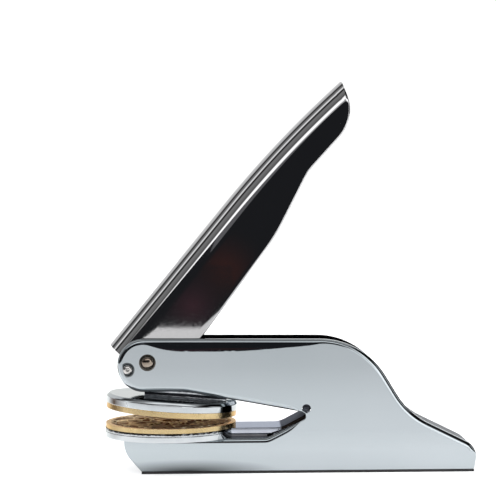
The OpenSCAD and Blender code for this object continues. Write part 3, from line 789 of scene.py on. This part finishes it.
# A side wall from its rim up, as (shift along the lever, distance from the middle, height)
def wallPoints(half, low, top, way, s):
    radius = min(s["rimRound"], (top - low) / 3)
    rims, walls = s["rimSteps"], s["wallSteps"]
    points = []
    for i in range(rims + 1):
        a = math.radians(90 * i / rims)
        back = radius * (1 - math.sin(a)) if radius else 0
        height = low + (radius * (1 - math.cos(a)) if radius else (top - low) * i / (rims + walls))
        points.append((-back * math.sin(way), half - back * math.cos(way), height))
    start = points[-1][2]
    points += [(0, half, start + (top - start) * i / walls) for i in range(1, walls)]
    return points


def leverRow(u, half, way, low, s):
    top = crownAt(u, s)
    flat = s["half"] - s["shoulder"]
    reach = math.asin(min(1, (half - flat) / s["shoulder"]))
    curve = []
    for i in range(s["shoulderSteps"] + 1):
        a = reach * (1 - i / s["shoulderSteps"])
        curve.append((0, flat + s["shoulder"] * math.sin(a), top - s["shoulder"] * (1 - math.cos(a))))
    low = min(low, curve[0][2] - s["leastWall"])
    side = wallPoints(half, low, curve[0][2], way, s) + curve
    side += [(0, flat * (1 - i / s["topSteps"]), top) for i in range(1, s["topSteps"] + 1)]
    return [(d, -y, v) for d, y, v in side] + [(d, y, v) for d, y, v in reversed(side[:-1])]


# One face of the sheet: its rows, its tip, its rim and its open heel end
def leverSkin(mesh, edges, s):
    turn = math.radians(s["open"])

    def place(u, y, v):
        return mesh.verts.new((
            (s["pivot"][0] + u * math.cos(turn) - v * math.sin(turn)) * mm, y * mm,
            (s["pivot"][1] + u * math.sin(turn) + v * math.cos(turn)) * mm,
        ))

    stations = leverStations(s)
    lows = [lowestAt(min(u, s["tip"] - s["tipGap"]), edges, s) for u, half, way in stations]
    rows = [leverRow(u, half, way, low, s) for (u, half, way), low in zip(stations, lows)]
    grid = [[place(u + d, y, v) for d, y, v in row] for (u, half, way), row in zip(stations, rows)]
    for first, second in zip(grid, grid[1:]):
        for i in range(len(first) - 1):
            mesh.faces.new((first[i], first[i + 1], second[i + 1], second[i]))
    last, u = rows[-1], stations[-1][0]
    size = s["rimSteps"] + s["wallSteps"]
    columns = [grid[-1][:size + 1]]
    for i in range(size + 1, len(last) - size - 1):
        d, y, v = last[i]
        wall = wallPoints(u, last[0][2], v, 0, s)
        columns.append([place(end, y, height) for shift, end, height in wall] + [grid[-1][i]])
    columns.append(list(reversed(grid[-1][-size - 1:])))
    for first, second in zip(columns, columns[1:]):
        for k in range(size):
            mesh.faces.new((first[k], first[k + 1], second[k + 1], second[k]))
    tip = [column[0] for column in columns[1:-1]]
    rim = [row[0] for row in grid] + tip + [row[-1] for row in reversed(grid)]
    return rim, grid[0]


def makeLever(s):
    edges = leverOutline(s)
    mesh = bmesh.new()
    rim, heel = leverSkin(mesh, edges, s)
    within = {key: s[key] - s["sheet"] for key in ("half", "shoulder", "crown", "tip", "corner")}
    innerRim, innerHeel = leverSkin(mesh, edges, {**s, **within, "rimRound": 0})
    for outer, inner in ((rim, innerRim), (heel, innerHeel)):
        for (a, b), (c, d) in zip(zip(outer, outer[1:]), zip(inner, inner[1:])):
            mesh.faces.new((a, b, d, c))
    bmesh.ops.remove_doubles(mesh, verts=mesh.verts, dist=sameSpot)
    smoothMesh(mesh, s["sharp"])
    lever = pieceFrom(mesh, "lever", "Shell")
    evenShine(lever, s["shine"], True)
    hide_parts("lever")
    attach(lever, "lever")


makeLever(leverShape)
print("lever made")


# Leaf springs, cut across into thin slices along their length

leafBend = {
    "slice": 1.5, "gap": 0.01,  # mm between cuts, and from a cut to a point that is taken as on it
    "heel": (8.4, 0, 20.5),     # where the leaves leave the clamp, mm
    "front": (-19.5, 0, 26),    # where they lie on the short leaves, mm
    "edge": 0.22, "edgeSteps": 2,
}


def bendingLeaf(nodeName, s):
    mesh = bmesh.new()
    mesh.from_mesh(nodes[nodeName].data)
    bmesh.ops.remove_doubles(mesh, verts=mesh.verts, dist=sameSpot)
    low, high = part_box(nodeName)
    count = int((high.x - low.x) / (s["slice"] * mm))
    for i in range(1, count):
        x = low.x + (high.x - low.x) * i / count
        bmesh.ops.bisect_plane(
            mesh, geom=mesh.verts[:] + mesh.edges[:] + mesh.faces[:],
            plane_co=(x, 0, 0), plane_no=(1, 0, 0), dist=s["gap"] * mm,
        )
    leaf = pieceFrom(mesh, nodeName, "Bent")
    roundEdges(leaf, s["edge"], s["edgeSteps"])
    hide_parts(nodeName)
    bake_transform(leaf)


for name in ("long_leaf_1", "long_leaf_2"):
    bendingLeaf(name, leafBend)


# Floor

floorSheet = {"reach": 4000, "colour": (0.9, 0.9, 0.9), "rough": 0.8, "shine": 0.1}


def flatPiece(name, corners, material):
    data = bpy.data.meshes.new(name)
    data.from_pydata([Vector(c) * mm for c in corners], [], [tuple(range(len(corners)))])
    piece = bpy.data.objects.new(name, data)
    bpy.context.scene.collection.objects.link(piece)
    data.materials.append(material)
    return piece


def makeFloor(s):
    material, bsdf = newMaterial("paleTable")
    bsdf.inputs["Base Color"].default_value = (*s["colour"], 1)
    bsdf.inputs["Roughness"].default_value = s["rough"]
    bsdf.inputs["Specular IOR Level"].default_value = s["shine"]
    r = s["reach"]
    flatPiece("floor", [(-r, -r, 0), (r, -r, 0), (r, r, 0), (-r, r, 0)], material)


# What the chrome mirrors in front of the press: a dark room with a few lighter places
room = {
    "reach": 3000,         # mm to either side
    "cardDistance": 735,   # mm in front of the press
    "cardHeight": 330,
    "lineHeight": (0.5, 1),  # bright line where the table ends
    "dark": (0.02, 0.021, 0.024),
    "line": (1, 1, 1), "lineGlow": 1.6,
    "wall": (0.95, 0.95, 1), "wallGlow": 0.2,
    "door": (1, 1, 1), "doorGlow": 2.2,
    "leftPatch": [(-80, 100), (-340, 330), (-80, 330)],   # mm, x and z
    "rightPatch": [(235, 60), (560, 60), (560, 329), (235, 329)],
    "lowPatch": [(92, 1), (700, 1), (700, 55), (92, 48)],
    "wineSpots": [  # x, z, half width, colour
        (-25, 49, 40, (0.075, 0.028, 0.024)),
        (-52, 20, 34, (0.07, 0.034, 0.044)),
        (125, 130, 36, (0.045, 0.02, 0.02)),
    ],
    "leftSpot": {"place": (-120, 22, 20), "halves": (52, 22), "colour": (0.16, 0.09, 0.055)},
    "footShade": {"place": (-34, -12, 0.45), "halves": (32, 27), "colour": (0.05, 0.05, 0.05)},
}


def plainMaterial(name, colour, strength):
    material = bpy.data.materials.new(name)
    material.use_nodes = True
    material.node_tree.nodes.clear()
    glow = addNode(material, "ShaderNodeEmission")
    out = addNode(material, "ShaderNodeOutputMaterial")
    glow.inputs["Color"].default_value = (*colour, 1)
    glow.inputs["Strength"].default_value = strength
    join(material, glow, "Emission", out, "Surface")
    return material


# Lets the glow show only where the mask is 1
def glowWhere(material, mask, output):
    clear = addNode(material, "ShaderNodeBsdfTransparent")
    mix = addNode(material, "ShaderNodeMixShader")
    join(material, mask, output, mix, 0)
    join(material, clear, "BSDF", mix, 1)
    join(material, material.node_tree.nodes["Emission"], "Emission", mix, 2)
    join(material, mix, "Shader", material.node_tree.nodes["Material Output"], "Surface")


def onlyReflected(piece):
    piece.visible_camera = False
    piece.visible_diffuse = False
    piece.visible_shadow = False
    piece.visible_transmission = False


def softSpot(name, place, halves, turn, colour, fall="QUADRATIC_SPHERE"):
    material = plainMaterial(name, colour, 1)
    local = addNode(material, "ShaderNodeTexCoord")
    fade = addNode(material, "ShaderNodeTexGradient", gradient_type=fall)
    join(material, local, "Object", fade, "Vector")
    glowWhere(material, fade, "Fac")
    metre = 1 / mm
    corners = [(-metre, -metre, 0), (metre, -metre, 0), (metre, metre, 0), (-metre, metre, 0)]
    spot = flatPiece(name, corners, material)
    spot.location = Vector(place) * mm
    spot.scale = (halves[0] * mm, halves[1] * mm, 1)
    spot.rotation_euler = [math.radians(angle) for angle in turn]
    onlyReflected(spot)


def standingPiece(name, corners, y, material):
    onlyReflected(flatPiece(name, [(x, y, z) for x, z in corners], material))


def makeDarkRoom(s):
    dark = plainMaterial("darkRoom", s["dark"], 1)
    white = plainMaterial("tableEdge", s["line"], s["lineGlow"])
    grey = plainMaterial("greyWall", s["wall"], s["wallGlow"])
    bright = plainMaterial("brightDoor", s["door"], s["doorGlow"])
    r, d = s["reach"], s["cardDistance"]
    low, high = s["lineHeight"]
    top = s["cardHeight"]
    standingPiece("leftPatch", s["leftPatch"], 2 - d, grey)
    standingPiece("rightPatch", s["rightPatch"], 2 - d, bright)
    standingPiece("lowPatch", s["lowPatch"], 3 - d, bright)
    for i, (x, z, half, colour) in enumerate(s["wineSpots"]):
        softSpot("wineSpot" + str(i), (x, 4 - d, z), (half, half), (90, 0, 0), colour)
    left, shade = s["leftSpot"], s["footShade"]
    softSpot("leftSpot", left["place"], left["halves"], (90, 0, 90), left["colour"], "SPHERICAL")
    softSpot("lowShade", shade["place"], shade["halves"], (0, 0, 0), shade["colour"], "SPHERICAL")
    standingPiece("frontCard", [(-r, high), (r, high), (r, top), (-r, top)], -d, dark)
    standingPiece("tableLine", [(-r, low), (r, low), (r, high), (-r, high)], -d, white)


# What the plates see of the table
tableGlow = {
    "stops": (  # mm in front of the press, brightness
        (60, 1.36), (110, 1.44), (210, 1.36), (280, 1.26), (390, 1.12), (560, 1.08), (735, 1.2),
    ),
    "brightest": 2,
    "reach": 3000, "height": 0.4,  # mm
}


def makeTableGlow(s):
    r, h, stops = s["reach"], s["height"], s["stops"]
    near, second, far = stops[0][0], stops[1][0], stops[-1][0]
    glow = plainMaterial("tableGlow", (1, 1, 1), s["brightest"])
    place = addNode(glow, "ShaderNodeTexCoord")
    parts = addNode(glow, "ShaderNodeSeparateXYZ")
    join(glow, place, "Object", parts, "Vector")
    share = mapSpan(glow, parts, "Y", 0, -far * mm, kind="LINEAR")
    ramp = greyRamp(glow, share, "Result", [(y / far, value) for y, value in stops], s["brightest"])
    join(glow, ramp, "Color", glow.node_tree.nodes["Emission"], "Color")
    edge = mapSpan(glow, parts, "Y", -near * mm, -second * mm, kind="LINEAR")
    glowWhere(glow, edge, "Result")
    sheet = [(-r, -far, h), (r, -far, h), (r, -near, h), (-r, -near, h)]
    onlyReflected(flatPiece("tableGlow", sheet, glow))


# Light of the room all round
roomLight = {
    "bands": (  # degrees from straight behind the press, brightness
        (0, 1.0), (24, 1.0), (45, 0.95), (60, 0.85), (64, 0.06), (73, 0.08), (79, 0.24), (89, 0.5),
        (93, 1.5), (97, 1.5), (101, 0.35), (103, 0.01), (108, 0.01), (114, 0.28), (120, 0.36),
        (127, 0.25), (131, 0.3), (136, 0.1), (141, 0.4), (145, 2.3), (153, 2.3), (158, 0.8),
        (163, 0.4), (168, 0.15), (180, 0.1),
    ),
    "brightest": 3,
    "tail": (0.45, 0.6), "tailGlow": 0.04,  # nearly dark past the tail's end
    "lamp": (0.93, 0, 0.37), "lampReach": (0.95, 0.985), "lampGlow": 3,
    "backdrop": (1, 1, 1), "backdropGlow": 1.1,
}


def makeWorld(s):
    world = bpy.data.worlds.new("studio")
    bpy.context.scene.world = world
    world.use_nodes = True
    world.node_tree.nodes.clear()
    way = addNode(world, "ShaderNodeTexCoord")
    parts = addNode(world, "ShaderNodeSeparateXYZ")
    join(world, way, "Generated", parts, "Vector")
    place = mapSpan(world, parts, "Y", -1, 1, kind="LINEAR")
    stops = sorted(((math.cos(math.radians(a)) + 1) / 2, v) for a, v in s["bands"])
    ramp = greyRamp(world, place, "Result", stops, s["brightest"])
    tail = mapSpan(world, parts, "X", *s["tail"], s["brightest"], s["tailGlow"])
    toward = addNode(world, "ShaderNodeVectorMath", operation="DOT_PRODUCT")
    join(world, way, "Generated", toward, 0)
    toward.inputs[1].default_value = s["lamp"]
    lamp = mapSpan(world, toward, "Value", *s["lampReach"], 0, s["lampGlow"])
    strength = addNode(world, "ShaderNodeMath", operation="ADD")
    join(world, tail, "Result", strength, 0)
    join(world, lamp, "Result", strength, 1)
    mirrored = addNode(world, "ShaderNodeBackground")
    join(world, ramp, "Color", mirrored, "Color")
    join(world, strength, "Value", mirrored, "Strength")
    backdrop = addNode(world, "ShaderNodeBackground")
    backdrop.inputs["Color"].default_value = (*s["backdrop"], 1)
    backdrop.inputs["Strength"].default_value = s["backdropGlow"]
    path = addNode(world, "ShaderNodeLightPath")
    choose = addNode(world, "ShaderNodeMixShader")
    join(world, path, "Is Camera Ray", choose, 0)
    join(world, mirrored, "Background", choose, 1)
    join(world, backdrop, "Background", choose, 2)
    out = addNode(world, "ShaderNodeOutputWorld")
    join(world, choose, "Shader", out, "Surface")


suns = {  # "way" is the way the light goes, "angle" is in degrees
    "overhead": {"way": (0.05, 0.1, -1), "angle": 120, "strength": 1.0, "shadow": True},
    "fill": {"way": (0, 0.2, -1), "angle": 60, "strength": 3.2, "shadow": False},
}


def softSun(name, s):
    data = bpy.data.lights.new(name, "SUN")
    data.angle = math.radians(s["angle"])
    data.energy = s["strength"]
    data.use_shadow = s["shadow"]
    lamp = bpy.data.objects.new(name, data)
    bpy.context.scene.collection.objects.link(lamp)
    lamp.rotation_euler = Vector(s["way"]).to_track_quat("-Z", "Y").to_euler()
    lamp.visible_glossy = False


makeFloor(floorSheet)
makeDarkRoom(room)
makeTableGlow(tableGlow)
makeWorld(roomLight)
for name, values in suns.items():
    softSun(name, values)
print("studio set")
